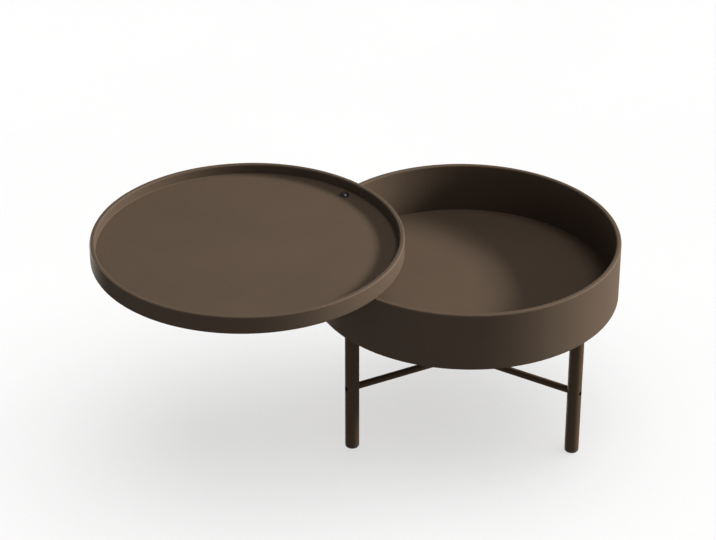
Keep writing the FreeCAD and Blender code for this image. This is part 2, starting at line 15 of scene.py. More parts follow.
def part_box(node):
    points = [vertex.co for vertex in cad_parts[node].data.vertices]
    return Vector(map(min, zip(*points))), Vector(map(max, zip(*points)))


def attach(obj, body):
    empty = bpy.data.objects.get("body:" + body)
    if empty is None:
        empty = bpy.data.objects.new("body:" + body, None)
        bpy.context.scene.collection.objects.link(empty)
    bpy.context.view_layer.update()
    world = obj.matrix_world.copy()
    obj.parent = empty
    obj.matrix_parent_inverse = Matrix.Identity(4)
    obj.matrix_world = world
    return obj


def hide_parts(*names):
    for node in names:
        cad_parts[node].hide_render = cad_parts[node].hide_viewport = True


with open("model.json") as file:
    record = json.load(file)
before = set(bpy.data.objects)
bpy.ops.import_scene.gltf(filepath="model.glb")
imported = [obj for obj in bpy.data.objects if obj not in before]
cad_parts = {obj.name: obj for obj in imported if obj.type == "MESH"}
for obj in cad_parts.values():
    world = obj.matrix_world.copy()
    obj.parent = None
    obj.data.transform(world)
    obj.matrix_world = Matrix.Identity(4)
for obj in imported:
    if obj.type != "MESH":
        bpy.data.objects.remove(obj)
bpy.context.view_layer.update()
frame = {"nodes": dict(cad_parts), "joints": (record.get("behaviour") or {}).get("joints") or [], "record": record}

bl_info = {
    "name": "Swivel coffee table",
    "version": (1, 0, 0),
    "blender": (4, 5, 0),
    "location": "3D View > Sidebar > Swivel table",
    "description": "Builds the finished pieces of a round swivel coffee table over its CAD frame",
    "category": "Add Mesh",
}

MM = 0.001


class Arc(NamedTuple):
    """Places on an arc: its radius, how many there are, the first one's angle and the step, in radians."""

    radius: float
    count: int
    start: float
    step: float


def low(node):
    """Lowest height of a CAD node."""
    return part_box(node)[0].z


def high(node):
    """Highest height of a CAD node."""
    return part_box(node)[1].z


def radius_of(node):
    """Half the width of a round CAD node, to a hundredth of a millimetre."""
    lowest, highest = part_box(node)
    return round((highest.x - lowest.x) / 2 / MM, 2) * MM


def up(height):
    """A step upwards."""
    return Vector((0.0, 0.0, height))


def heading(start, end):
    """Angle from +X of the level line from start to end."""
    return math.atan2(end.y - start.y, end.x - start.x)


def facing(direction):
    """Matrix that turns +Z to a direction."""
    return direction.to_track_quat("Z", "Y").to_matrix().to_4x4()


def single(angle):
    """A ring with one place at its centre, whose arc counts its angles from the one given."""
    return Arc(0.0, 1, angle, 0.0)


FOOT = {mount["name"].split("_")[1]: Vector(mount["pos_m"]) for mount in frame["record"]["mounts"]}
DRUM_AXIS = sum(FOOT.values(), Vector()) / len(FOOT)
TRAY_AXIS = -DRUM_AXIS
PIVOT = next(Vector(joint["pos_m"]) for joint in frame["joints"] if joint["name"] == "tray_swivel")
PIVOT.z = 0.0
OUTWARDS = {side: (foot - DRUM_AXIS).normalized() for side, foot in FOOT.items()}
LEG_REACH = (FOOT["rear"] - DRUM_AXIS).length

TO_TRAY = single(heading(PIVOT, TRAY_AXIS))
TO_DRUM = single(heading(PIVOT, DRUM_AXIS))
LEG_RING = Arc(LEG_REACH, len(FOOT), heading(DRUM_AXIS, FOOT["rear"]), math.radians(120))

# Flats round a screw or pad, a small turned piece and a leg or its like, and round the tools that cut
# holes and saddles.
SCREW_STEPS = 32
PIECE_STEPS = 64
TUBE_STEPS = 96
HOLE_STEPS = 48
SADDLE_STEPS = 192

# A rounded edge has eight flats, and the flats beside it are held 1 mm away, so that they shade flat.
EDGE_STEPS = 8
EDGE_HOLD = 1 * MM
SHARP_ANGLE = math.radians(35)
MERGE_DISTANCE = 0.001 * MM

# Roundings of an edge that is only sanded, of a filed cut edge, and of the drum's lower edge as a share
# of the rim's rounding.
SANDED_EDGE = 0.4 * MM
CUT_EDGE = 0.3 * MM
LOWER_EDGE_SHARE = 0.9

PAD_RADIUS = 4 * MM
PAD_INSET = 8 * MM
PAD_COUNT = 6
BALL_COUNT = 12
CAP_STEPS = 16
PLUG_STEM = 9.9 * MM
FOOT_STEM_GAP = 0.1 * MM
PLATE_BOSS = 8 * MM

# The hole in a leg that lets a key reach the bolt of its brace arm, cut from inside the bore to past
# the leg's wall.
ACCESS_RADIUS = 5.3 * MM
ACCESS_FROM = 4 * MM
ACCESS_TO = 30 * MM

# A brace arm starts at a flat of the hub, with a weld round its foot, and stops short of the leg's axis,
# where a saddle that fits round the leg is cut into it.
ARM_RADIUS = 7 * MM
ARM_SHORT = 10 * MM
ARM_WELD = 1.1 * MM
SADDLE_GAP = 0.05 * MM
HUB_RADIUS = 18 * MM
HUB_FLAT = 16 * MM
HUB_EDGE = 1.2 * MM

# A 4 mm wood screw with a countersunk cross head, and the sunk hole that takes it.
HEAD_RADIUS = 4.0 * MM
HEAD_UNDER = 3.9 * MM
HEAD_RIM = 0.4 * MM
HEAD_EDGE = 0.15 * MM
HEAD_DEPTH = 2.4 * MM
SHANK_RADIUS = 2.0 * MM
POINT_LENGTH = 2.5 * MM
CROSS_LENGTH = 4.4 * MM
CROSS_WIDTH = 1.0 * MM
SINK_WIDE = 4.1 * MM
SINK_NARROW = 2.2 * MM
SINK_RIM = 0.35 * MM
SINK_DEPTH = 2.3 * MM
SINK_FROM = -1 * MM
SINK_TO = 6 * MM
HEAD_UP = 1
HEAD_DOWN = -1

# Circles of the screws, as the CAD has them, and how far, in radians, a screw's head may be turned when
# it is tight.
HUB_SCREWS = Arc(37.9 * MM, 4, math.radians(-60), math.radians(40))
POST_SCREWS = Arc(27.01 * MM, 4, math.radians(-75), math.radians(50))
LEG_SCREWS = Arc(20 * MM, 4, math.radians(45), math.radians(90))
HEAD_TURN = 1.5
TURN_SEED = 7

# Each group of screws: its piece, CAD node and body, which way the heads face, and where they stand.
SCREW_GROUPS = (
    ("plated_hub_screws", "hub_plate_screws", "tray", HEAD_DOWN, PIVOT, HUB_SCREWS, TO_TRAY),
    ("plated_post_screws", "post_screws", "base", HEAD_UP, PIVOT, POST_SCREWS, TO_DRUM),
    ("plated_leg_screws", "leg_plate_screws", "base", HEAD_DOWN, DRUM_AXIS, LEG_SCREWS, LEG_RING),
)


def linear(code):
    """Scene linear colour of an sRGB hex value."""
    parts = [int(code[i:i + 2], 16) / 255 for i in (1, 3, 5)]
    return [p / 12.92 if p <= 0.04045 else ((p + 0.055) / 1.055) ** 2.4 for p in parts] + [1.0]


class TableSizes(bpy.types.PropertyGroup):
    """Sizes of the finish that a user may change."""

    wall: bpy.props.FloatProperty(
        name="Wall thickness", description="Thickness of the bent board of the tray rim and the drum wall",
        default=10 * MM, min=6 * MM, max=16 * MM, unit="LENGTH")
    ledge: bpy.props.FloatProperty(
        name="Ledge width",
        description="How far the ledge under the tray floor stands in from the tray's wall",
        default=6 * MM, min=2 * MM, max=12 * MM, unit="LENGTH")
    rebate: bpy.props.FloatProperty(
        name="Rebate depth", description="How far the drum floor is let into the drum's wall",
        default=4 * MM, min=1 * MM, max=8 * MM, unit="LENGTH")
    rim_round: bpy.props.FloatProperty(
        name="Rim rounding", description="Radius of the rounded edges of tray rim and drum wall",
        default=3 * MM, min=0.5 * MM, max=4 * MM, unit="LENGTH")
    joint_fill: bpy.props.FloatProperty(
        name="Joint fill", description="Radius of the filled and lacquered corner between floor and wall",
        default=1.2 * MM, min=0.5 * MM, max=6 * MM, unit="LENGTH")
    foot_round: bpy.props.FloatProperty(
        name="Foot rounding", description="Radius of the rounded lower edge of the foot glides",
        default=4.5 * MM, min=0.5 * MM, max=5.5 * MM, unit="LENGTH")
    steps: bpy.props.IntProperty(
        name="Turning steps", description="Number of flats round the tray and the drum",
        default=256, min=64, max=512)


class TableColours(bpy.types.PropertyGroup):
    """Colours of the finish that a user may change."""

    lacquer: bpy.props.FloatVectorProperty(
        name="Lacquer", description="Matte lacquer of the tray and the drum",
        default=linear("#4D4136"), size=4, min=0, max=1, subtype="COLOR")
    coat: bpy.props.FloatVectorProperty(
        name="Powder coat", description="Powder coat of the legs, the brace and the pivot post",
        default=linear("#46382A"), size=4, min=0, max=1, subtype="COLOR")
    zinc: bpy.props.FloatVectorProperty(
        name="Zinc", description="Zinc plate of the screws, plates and pivot parts",
        default=linear("#B9BCC0"), size=4, min=0, max=1, subtype="COLOR")
    oxide: bpy.props.FloatVectorProperty(
        name="Black oxide", description="Blackened steel of the brace bolts",
        default=linear("#34322F"), size=4, min=0, max=1, subtype="COLOR")
    bronze: bpy.props.FloatVectorProperty(
        name="Bronze", description="Sintered bronze of the pivot's bushes",
        default=linear("#B08A55"), size=4, min=0, max=1, subtype="COLOR")
    nylon: bpy.props.FloatVectorProperty(
        name="Nylon", description="Moulded nylon of the foot glides, the post's plug and the ball cage",
        default=linear("#262220"), size=4, min=0, max=1, subtype="COLOR")
    cap: bpy.props.FloatVectorProperty(
        name="Pivot cap", description="Polished plastic of the cap over the pivot",
        default=linear("#1A1A1E"), size=4, min=0, max=1, subtype="COLOR")
    felt: bpy.props.FloatVectorProperty(
        name="Felt", description="Wool felt of the glide pads under the tray",
        default=linear("#4A4440"), size=4, min=0, max=1, subtype="COLOR")
    floor: bpy.props.FloatVectorProperty(
        name="Studio floor", description="Pale floor that the table stands on",
        default=linear("#E3E3E3"), size=4, min=0, max=1, subtype="COLOR")


def add_node(tree, kind, inputs=None, **settings):
    """Add a node with its settings and inputs, which are linked if they are sockets and set if not."""
    node = tree.nodes.new(kind)
    for key, value in settings.items():
        setattr(node, key, value)
    for key, value in (inputs or {}).items():
        if isinstance(value, bpy.types.NodeSocket):
            tree.links.new(value, node.inputs[key])
        else:
            node.inputs[key].default_value = value
    return node


# Sockets of a Mix node, whose names repeat for each kind of value.
MIX_SHARE = 0
MIX_NUMBERS = (2, 3)
MIX_NUMBER = 0
MIX_COLOURS = (6, 7)
MIX_COLOUR = 2

# Share of the roughness that is left where an edge is rubbed.
RUBBED_ROUGHNESS = 0.8


def surface(name, colour, tone, patch, grain, relief, rough, wear_and_highlight=0.0, stretch=(1.0, 1.0, 1.0), **fixed):
    """A surface with slow patches of tone, a fine grain, and rounded edges painted paler as wear and as a painted
    highlight, on the piece's own coordinates.

    tone is how much darker the dark patches are, patch and grain are pattern sizes, relief is the height
    of the grain, rough the lowest and the highest roughness, wear_and_highlight how much paler the rounded
    edges are painted, partly as wear and partly as a painted highlight, and fixed holds values that are even all
    over.
    """
    material = bpy.data.materials.new(name)
    material.use_nodes = True
    tree = material.node_tree
    tree.nodes.clear()
    place = add_node(tree, "ShaderNodeTexCoord").outputs["Object"]
    drawn = add_node(tree, "ShaderNodeMapping", {"Vector": place, "Scale": stretch}).outputs["Vector"]
    cloud = add_node(tree, "ShaderNodeTexNoise", {
        "Vector": place, "Scale": 1 / patch, "Detail": 3.0}).outputs[0]
    fine = add_node(tree, "ShaderNodeTexNoise", {
        "Vector": drawn, "Scale": 1 / grain, "Detail": 2.0}).outputs[0]
    both = add_node(tree, "ShaderNodeMath", {0: cloud, 1: fine}, operation="ADD").outputs[0]
    shade = add_node(tree, "ShaderNodeMapRange", {
        "Value": both, "From Min": 0.7, "From Max": 1.3}).outputs[0]
    dark = [part * (1 - tone) for part in colour[:3]] + [1.0]
    paint = add_node(tree, "ShaderNodeMix", {
        MIX_SHARE: shade, MIX_COLOURS[0]: dark, MIX_COLOURS[1]: list(colour)},
        data_type="RGBA").outputs[MIX_COLOUR]
    gloss = add_node(tree, "ShaderNodeMapRange", {
        "Value": cloud, "From Min": 0.3, "From Max": 0.7,
        "To Min": rough[0], "To Max": rough[1]}).outputs[0]
    # The rounded edges are painted paler, partly as wear and partly as a painted highlight, and left a little less
    # rough.
    if wear_and_highlight:
        edge = add_node(tree, "ShaderNodeAttribute", attribute_name="edge").outputs["Fac"]
        wear_and_highlight_mask = add_node(tree, "ShaderNodeMath", {0: edge, 1: shade}, operation="MULTIPLY").outputs[0]
        # Paler colour of the rounded edges: wear and a painted highlight.
        light = [min(part * (1 + wear_and_highlight), 1.0) for part in colour[:3]] + [1.0]
        paint = add_node(tree, "ShaderNodeMix", {
            MIX_SHARE: wear_and_highlight_mask, MIX_COLOURS[0]: paint, MIX_COLOURS[1]: light},
            data_type="RGBA").outputs[MIX_COLOUR]
        gloss = add_node(tree, "ShaderNodeMix", {
            MIX_SHARE: wear_and_highlight_mask, MIX_NUMBERS[0]: gloss, MIX_NUMBERS[1]: RUBBED_ROUGHNESS * rough[0]},
            data_type="FLOAT").outputs[MIX_NUMBER]
    bump = add_node(tree, "ShaderNodeBump", {
        "Strength": 1.0, "Distance": relief, "Height": fine}).outputs[0]
    shader = add_node(tree, "ShaderNodeBsdfPrincipled", {
        "Base Color": paint, "Roughness": gloss, "Normal": bump, **fixed})
    add_node(tree, "ShaderNodeOutputMaterial", {"Surface": shader.outputs[0]})
    return material


def matte_lacquer(colours):
    # Board sprayed with pigmented matte lacquer and rubbed down: an even dark taupe with hardly any gloss,
    # a little polished and paler on the rounded edges: wear where hands rub it, and a painted highlight.
    # The film's orange peel is about 1 mm wide, too fine to show from a step away, and is drawn 4 mm wide.
    return surface(
        "Matte lacquer on board", colours.lacquer, tone=0.12, patch=140 * MM, grain=4 * MM,
        relief=0.035 * MM, rough=(0.78, 0.80), wear_and_highlight=0.05, **{"IOR": 1.46, "Specular IOR Level": 0.15})


def powder_coat(colours):
    # Polyester powder baked on steel tube: a slightly pebbled skin that breaks up reflections.
    # The pebbles are about 0.5 mm wide and are drawn 1.5 mm wide to show.
    return surface(
        "Powder coat on steel", colours.coat, tone=0.15, patch=60 * MM, grain=1.5 * MM,
        relief=0.1 * MM, rough=(0.72, 0.80), wear_and_highlight=0.3, **{"IOR": 1.5, "Specular IOR Level": 0.15})


def zinc_plate(colours):
    # Bright zinc plated over drawn steel: a pale bluish metal with faint drawing lines.
    # The lines are a few hundredths of a millimetre apart and are drawn 0.6 mm apart.
    return surface(
        "Zinc plate on steel", colours.zinc, tone=0.25, patch=9 * MM, grain=0.6 * MM,
        relief=0.01 * MM, rough=(0.26, 0.38), wear_and_highlight=0.2, stretch=(1.0, 1.0, 0.08), Metallic=1.0)


def black_oxide(colours):
    # Steel blackened in hot oxide and oiled: a near black metal with brownish clouds.
    return surface(
        "Black oxide on steel", colours.oxide, tone=0.35, patch=4 * MM, grain=0.8 * MM,
        relief=0.01 * MM, rough=(0.35, 0.5), Metallic=1.0)


def sintered_bronze(colours):
    # Bronze powder pressed and sintered: a dull yellow metal, darkened by oil in its pores.
    # The pores are about 0.1 mm wide and are drawn 0.7 mm wide.
    return surface(
        "Sintered bronze", colours.bronze, tone=0.4, patch=2.5 * MM, grain=0.7 * MM,
        relief=0.02 * MM, rough=(0.35, 0.5), Metallic=1.0)


def moulded_nylon(colours):
    # Nylon moulded in a spark eroded tool: near black, with the tool's fine grain and a waxy gloss.
    # The grain is about 0.2 mm wide and is drawn 0.9 mm wide.
    return surface(
        "Moulded nylon", colours.nylon, tone=0.2, patch=12 * MM, grain=0.9 * MM,
        relief=0.06 * MM, rough=(0.42, 0.55), wear_and_highlight=0.3, IOR=1.53)


def polished_plastic(colours):
    # Acrylic moulded in a polished tool: black with a sharp highlight, and faint flow marks.
    return surface(
        "Polished black acrylic", colours.cap, tone=0.2, patch=6 * MM, grain=5 * MM,
        relief=0.004 * MM, rough=(0.22, 0.32), IOR=1.49)


def wool_felt(colours):
    # Pressed wool: short fibres lie every way, which leaves a fuzzy mottled face with no gloss.
    # The fibres are about 0.03 mm thick and are drawn as 0.5 mm tufts.
    return surface(
        "Pressed wool felt", colours.felt, tone=0.4, patch=1.2 * MM, grain=0.5 * MM,
        relief=0.15 * MM, rough=(0.9, 1.0), **{"Sheen Weight": 0.3, "Sheen Roughness": 0.5})


def studio_floor(colours):
    # Matte vinyl sheet rolled out in a studio: pale, even, without gloss.
    return surface(
        "Studio vinyl", colours.floor, tone=0.02, patch=700 * MM, grain=8 * MM,
        relief=0.02 * MM, rough=(0.75, 0.85), **{"Specular IOR Level": 0.2})


FINISHES = {
    "lacquered_board": matte_lacquer,
    "powder_coated_steel": powder_coat,
    "zinc_steel": zinc_plate,
    "black_oxide_steel": black_oxide,
    "bronze": sintered_bronze,
    "black_plastic": moulded_nylon,
    "gloss_plastic": polished_plastic,
    "felt": wool_felt,
    "studio_floor": studio_floor,
}
made = {}


def material_of(slot):
    """The material of a slot, made on its first use."""
    if slot not in made:
        made[slot] = FINISHES[slot](bpy.context.scene.swivel_table_colours)
    return made[slot]


def rounded(corners):
    """Points along a profile's corners (radius, height, rounding), each with its share of a rounded edge.

    The flats are held beside each arc, so that they stay flat when they are shaded smooth.
    """
    points = []
    for i, (x, y, rounding) in enumerate(corners):
        corner = Vector((x, y))
        if not rounding:
            points.append((corner, 0.0))
            continue
        before, after = (Vector(corners[(i + k) % len(corners)][:2]) - corner for k in (-1, 1))
        back, ahead = before.normalized(), after.normalized()
        half = before.angle(after) / 2
        cut = rounding / math.tan(half)
        centre = corner + (back + ahead).normalized() * rounding / math.sin(half)
        start = corner + back * cut - centre
        turn = start.angle_signed(corner + ahead * cut - centre)
        if before.length > 2 * (cut + EDGE_HOLD):
            points.append((corner + back * (cut + EDGE_HOLD), 0.0))
        for k in range(EDGE_STEPS + 1):
            share = k / EDGE_STEPS
            points.append((centre + Matrix.Rotation(-turn * share, 2) @ start, math.sin(math.pi * share)))
        if after.length > 2 * (cut + EDGE_HOLD):
            points.append((corner + ahead * (cut + EDGE_HOLD), 0.0))
    return points


def plain(obj):
    """Make an object's evaluated shape its own mesh, shaded smooth between its sharp edges."""
    graph = bpy.context.evaluated_depsgraph_get()
    mesh = bpy.data.meshes.new_from_object(obj.evaluated_get(graph), depsgraph=graph)
    if not mesh.polygons:
        raise RuntimeError(obj.name + " came out empty")
    obj.modifiers.clear()
    raw, obj.data = obj.data, mesh
    bpy.data.meshes.remove(raw)
    mesh.name = obj.name
    mesh.shade_smooth()
    mesh.set_sharp_from_angle(angle=SHARP_ANGLE)
    return obj


def put(name, mesh):
    """Link a mesh into the scene."""
    obj = bpy.data.objects.new(name, mesh)
    bpy.context.scene.collection.objects.link(obj)
    return obj


def built(name, maker, **settings):
    """A plain body from one of bmesh's makers."""
    mesh = bpy.data.meshes.new(name)
    shape = bmesh.new()
    maker(shape, **settings)
    shape.to_mesh(mesh)
    shape.free()
    return put(name, mesh)


def grow(name, mesh, tree, values):
    """Run a node tree on a mesh and keep the result as a plain object."""
    obj = put(name, mesh)
    modifier = obj.modifiers.new(tree.name, "NODES")
    modifier.node_group = tree
    named = {item.name: item.identifier for item in tree.interface.items_tree if item.in_out == "INPUT"}
    for key, value in values.items():
        modifier[named[key]] = value
    return plain(obj)


def start_tree(name, inputs):
    """A geometry node tree with named inputs, and the sockets that they give."""
    tree = bpy.data.node_groups.new(name, "GeometryNodeTree")
    tree.interface.new_socket("Geometry", in_out="OUTPUT", socket_type="NodeSocketGeometry")
    for label, kind in {"Geometry": "Geometry", **inputs, "Material": "Material"}.items():
        tree.interface.new_socket(label, in_out="INPUT", socket_type="NodeSocket" + kind)
    return tree, add_node(tree, "NodeGroupInput").outputs


def end_tree(tree, shape, given):
    """Close a tree with the shape made real and its material set."""
    real = add_node(tree, "GeometryNodeRealizeInstances", {"Geometry": shape}).outputs[0]
    dressed = add_node(tree, "GeometryNodeSetMaterial", {"Geometry": real, "Material": given["Material"]})
    add_node(tree, "NodeGroupOutput", {0: dressed.outputs[0]})
    return tree


def turned_tree():
    """Tree that sweeps a profile round an upright axis."""
    tree, given = start_tree("Turned piece", {"Radius": "Float", "Steps": "Int", "Axis": "Vector"})
    path = add_node(tree, "GeometryNodeCurvePrimitiveCircle", {
        "Resolution": given["Steps"], "Radius": given["Radius"]}).outputs[0]
    outline = add_node(tree, "GeometryNodeMeshToCurve", {"Mesh": given["Geometry"]}).outputs[0]
    skin = add_node(tree, "GeometryNodeCurveToMesh", {"Curve": path, "Profile Curve": outline}).outputs[0]
    joined = add_node(tree, "GeometryNodeMergeByDistance", {
        "Geometry": skin, "Distance": MERGE_DISTANCE}).outputs[0]
    placed = add_node(tree, "GeometryNodeTransform", {"Geometry": joined, "Translation": given["Axis"]})
    return end_tree(tree, placed.outputs[0], given)


def scattered_tree():
    """Tree that repeats one piece on arcs, whose centres stand on a ring."""
    tree, given = start_tree("Pieces on arcs", {
        "Centre": "Vector", "Ring radius": "Float", "Ring count": "Int", "Ring start": "Float",
        "Ring step": "Float", "Arc radius": "Float", "Arc count": "Int", "Arc start": "Float",
        "Arc step": "Float", "Turn": "Float", "Seed": "Int"})

    index = add_node(tree, "GeometryNodeInputIndex").outputs[0]
    share = add_node(tree, "ShaderNodeMath", {
        0: index, 1: given["Arc count"]}, operation="DIVIDE").outputs[0]
    ring = add_node(tree, "ShaderNodeMath", {0: share}, operation="FLOOR").outputs[0]
    along = add_node(tree, "ShaderNodeMath", {
        0: index, 1: given["Arc count"]}, operation="MODULO").outputs[0]
    ring_angle = add_node(tree, "ShaderNodeMath", {
        0: ring, 1: given["Ring step"], 2: given["Ring start"]}, operation="MULTIPLY_ADD").outputs[0]
    first = add_node(tree, "ShaderNodeMath", {
        0: ring_angle, 1: given["Arc start"]}, operation="ADD").outputs[0]
    arc_angle = add_node(tree, "ShaderNodeMath", {
        0: along, 1: given["Arc step"], 2: first}, operation="MULTIPLY_ADD").outputs[0]
    spot = given["Centre"]
    for radius, angle in ((given["Ring radius"], ring_angle), (given["Arc radius"], arc_angle)):
        reach = add_node(tree, "ShaderNodeCombineXYZ", {"X": radius}).outputs[0]
        turned_reach = add_node(tree, "ShaderNodeVectorRotate", {
            "Vector": reach, "Angle": angle}, rotation_type="Z_AXIS").outputs[0]
        spot = add_node(tree, "ShaderNodeVectorMath", {
            0: spot, 1: turned_reach}, operation="ADD").outputs[0]
    count = add_node(tree, "ShaderNodeMath", {
        0: given["Ring count"], 1: given["Arc count"]}, operation="MULTIPLY").outputs[0]
    points = add_node(tree, "GeometryNodePoints", {"Count": count, "Position": spot}).outputs[0]
    chance = add_node(tree, "FunctionNodeRandomValue", {
        "ID": index, "Seed": given["Seed"]}, data_type="FLOAT").outputs[1]
    spin = add_node(tree, "ShaderNodeMath", {
        0: chance, 1: given["Turn"], 2: arc_angle}, operation="MULTIPLY_ADD").outputs[0]
    upright = add_node(tree, "ShaderNodeCombineXYZ", {"Z": spin}).outputs[0]
    turn = add_node(tree, "FunctionNodeEulerToRotation", {0: upright}).outputs[0]
    copies = add_node(tree, "GeometryNodeInstanceOnPoints", {
        "Points": points, "Instance": given["Geometry"], "Rotation": turn})
    return end_tree(tree, copies.outputs[0], given)


def tree_of(name, maker):
    """A node tree, made on its first use."""
    return bpy.data.node_groups.get(name) or maker()


def turned(name, corners, slot, axis=(0.0, 0.0, 0.0), steps=PIECE_STEPS):
    """A turned piece from the corners (radius, height, rounding) of its profile, top outwards and down.

    A profile that starts away from the axis is a hoop's or a tube's, and is closed.
    """
    points = rounded(corners)
    reach = max(point.x for point, edge in points)
    edges = [(i, i + 1) for i in range(len(points) - 1)]
    if corners[0][0] > 0:
        edges.append((len(points) - 1, 0))
    mesh = bpy.data.meshes.new(name)
    mesh.from_pydata([(point.x - reach, -point.y, 0.0) for point, edge in points], edges, [])
    shares = [edge for point, edge in points]
    mesh.attributes.new("edge", "FLOAT", "POINT").data.foreach_set("value", shares)
    return grow(name, mesh, tree_of("Turned piece", turned_tree), {
        "Radius": reach, "Steps": steps, "Axis": tuple(axis), "Material": material_of(slot)})


def scattered(name, piece, slot, centre, arc, ring, loose=0.0):
    """Copies of one piece on an arc about each place of a ring, each turned by chance up to loose."""
    mesh = piece.data.copy()
    bpy.data.objects.remove(piece)
    return grow(name, mesh, tree_of("Pieces on arcs", scattered_tree), {
        "Centre": tuple(centre),
        "Ring radius": ring.radius, "Ring count": ring.count,
        "Ring start": ring.start, "Ring step": ring.step,
        "Arc radius": arc.radius, "Arc count": arc.count,
        "Arc start": arc.start, "Arc step": arc.step,
        "Turn": loose, "Seed": TURN_SEED, "Material": material_of(slot)})


def rod(name, radius, start, end, steps=HOLE_STEPS):
    """A plain round bar between two points, to cut with."""
    along = end - start
    return built(
        name, bmesh.ops.create_cone, cap_ends=True, segments=steps, radius1=radius, radius2=radius,
        depth=along.length, matrix=Matrix.Translation((start + end) / 2) @ facing(along))


def block(name, size, centre, turn=0.0):
    """A plain box, turned about the upright axis, to cut with."""
    shape = Matrix.Rotation(turn, 4, "Z") @ Matrix.Diagonal((*size, 1.0))
    return built(name, bmesh.ops.create_cube, size=1.0, matrix=Matrix.Translation(centre) @ shape)


def carve(obj, *cutters):
    """Cut the cutters out of an object and remove them."""
    for cutter in cutters:
        modifier = obj.modifiers.new("Carve", "BOOLEAN")
        modifier.object = cutter
        modifier.solver = "EXACT"
    plain(obj)
    for cutter in cutters:
        bpy.data.objects.remove(cutter)
    return obj


def settle(obj, body, slot, *nodes):
    """Let a finished piece ride on its body and stand for its CAD nodes, which are hidden; slot is not used."""
    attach(obj, body)
    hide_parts(*nodes)


def wood_screw(length, way):
    """A countersunk screw with its head's face at the origin, facing up or down."""
    screw = turned("Screw", [
        (0.0, 0.0, 0.0), (HEAD_RADIUS, 0.0, HEAD_EDGE), (HEAD_UNDER, -HEAD_RIM, HEAD_EDGE),
        (SHANK_RADIUS, -HEAD_DEPTH, CUT_EDGE), (SHANK_RADIUS, POINT_LENGTH - length, CUT_EDGE),
        (0.0, -length, 0.0)], "zinc_steel", steps=SCREW_STEPS)
    bar = (CROSS_LENGTH, CROSS_WIDTH, HEAD_DEPTH)
    carve(screw, *(block("Cross", bar, Vector(), turn) for turn in (0.0, math.pi / 2)))
    if way == HEAD_DOWN:
        screw.data.transform(Matrix.Rotation(math.pi, 4, "X"))
    return screw


class AddTrayRim(bpy.types.Operator):
    """Add the lacquered rim of the tray"""

    bl_idname = "swivel_table.tray_rim"
    bl_label = "Tray rim"

    def execute(self, context):
        sizes = context.scene.swivel_table_sizes
        outer, top, bottom = radius_of("tray_rim"), high("tray_rim"), low("tray_rim")
        inner, seat, floor = outer - sizes.wall, low("tray_floor"), high("tray_floor")
        ledge, edge, fill = inner - sizes.ledge, sizes.rim_round, sizes.joint_fill
        rim = turned("lacquered_tray_rim", [
            (inner, top, edge), (outer, top, edge), (outer, bottom, edge), (ledge, bottom, SANDED_EDGE),
            (ledge, seat, SANDED_EDGE), (inner, seat, 0.0), (inner, floor, 0.0), (inner - fill, floor, 0.0),
            (inner, floor, fill)], "lacquered_board", TRAY_AXIS, sizes.steps)
        settle(rim, "tray", "lacquered_board", "tray_rim")
        return {"FINISHED"}


class AddTrayPads(bpy.types.Operator):
    """Add the felt pads that the tray's rim glides on"""

    bl_idname = "swivel_table.tray_pads"
    bl_label = "Tray pads"

    def execute(self, context):
        top, bottom = high("tray_glides"), low("tray_glides")
        glued_edge, worn_edge = 0.1 * MM, 0.6 * MM
        pad = turned("Pad", [
            (0.0, top, 0.0), (PAD_RADIUS, top, glued_edge), (PAD_RADIUS, bottom, worn_edge),
            (0.0, bottom, 0.0)], "felt", steps=SCREW_STEPS)
        arc = Arc(radius_of("tray_rim") - PAD_INSET, PAD_COUNT, math.radians(30), math.radians(60))
        pads = scattered("felt_tray_glides", pad, "felt", TRAY_AXIS, arc, TO_TRAY)
        settle(pads, "tray", "felt", "tray_glides")
        return {"FINISHED"}


class AddDrumWall(bpy.types.Operator):
    """Add the lacquered wall of the storage drum"""

    bl_idname = "swivel_table.drum_wall"
    bl_label = "Drum wall"

    def execute(self, context):
        sizes = context.scene.swivel_table_sizes
        outer, top, bottom = radius_of("drum_wall"), high("drum_wall"), low("drum_wall")
        inner, floor = outer - sizes.wall, high("drum_floor")
        let_in, edge, fill = inner + sizes.rebate, sizes.rim_round, sizes.joint_fill
        wall = turned("lacquered_drum_wall", [
            (inner, top, edge), (outer, top, edge), (outer, bottom, LOWER_EDGE_SHARE * edge),
            (let_in, bottom, SANDED_EDGE), (let_in, floor, 0.0), (inner - fill, floor, 0.0),
            (inner, floor, fill)], "lacquered_board", DRUM_AXIS, sizes.steps)
        settle(wall, "base", "lacquered_board", "drum_wall")
        return {"FINISHED"}


class AddPivotCap(bpy.types.Operator):
    """Add the domed cap over the pivot"""

    bl_idname = "swivel_table.pivot_cap"
    bl_label = "Pivot cap"

    def execute(self, context):
        foot, top, wide = low("pivot_cap"), high("pivot_cap"), radius_of("pivot_cap")
        rise = top - foot
        dome = (wide ** 2 + rise ** 2) / (2 * rise)
        lean = math.asin(wide / dome)
        profile = [(0.0, top, 0.0)]
        for k in range(1, CAP_STEPS + 1):
            tilt = lean * k / CAP_STEPS
            profile.append((dome * math.sin(tilt), top - dome + dome * math.cos(tilt), 0.0))
        profile.append((0.0, foot, 0.0))
        cap = turned("polished_pivot_cap", profile, "gloss_plastic", PIVOT)
        settle(cap, "tray", "gloss_plastic", "pivot_cap")
        return {"FINISHED"}


class AddPivotPost(bpy.types.Operator):
    """Add the post that carries the pivot"""

    bl_idname = "swivel_table.pivot_post"
    bl_label = "Pivot post"

    def execute(self, context):
        outer, bore = radius_of("pivot_post"), radius_of("upper_bush")
        top, bottom = high("pivot_post"), low("pivot_post")
        post = turned("coated_pivot_post", [
            (bore, top, CUT_EDGE), (outer, top, CUT_EDGE), (outer, bottom, CUT_EDGE),
            (bore, bottom, CUT_EDGE)], "powder_coated_steel", PIVOT)
        settle(post, "base", "powder_coated_steel", "pivot_post")
        return {"FINISHED"}


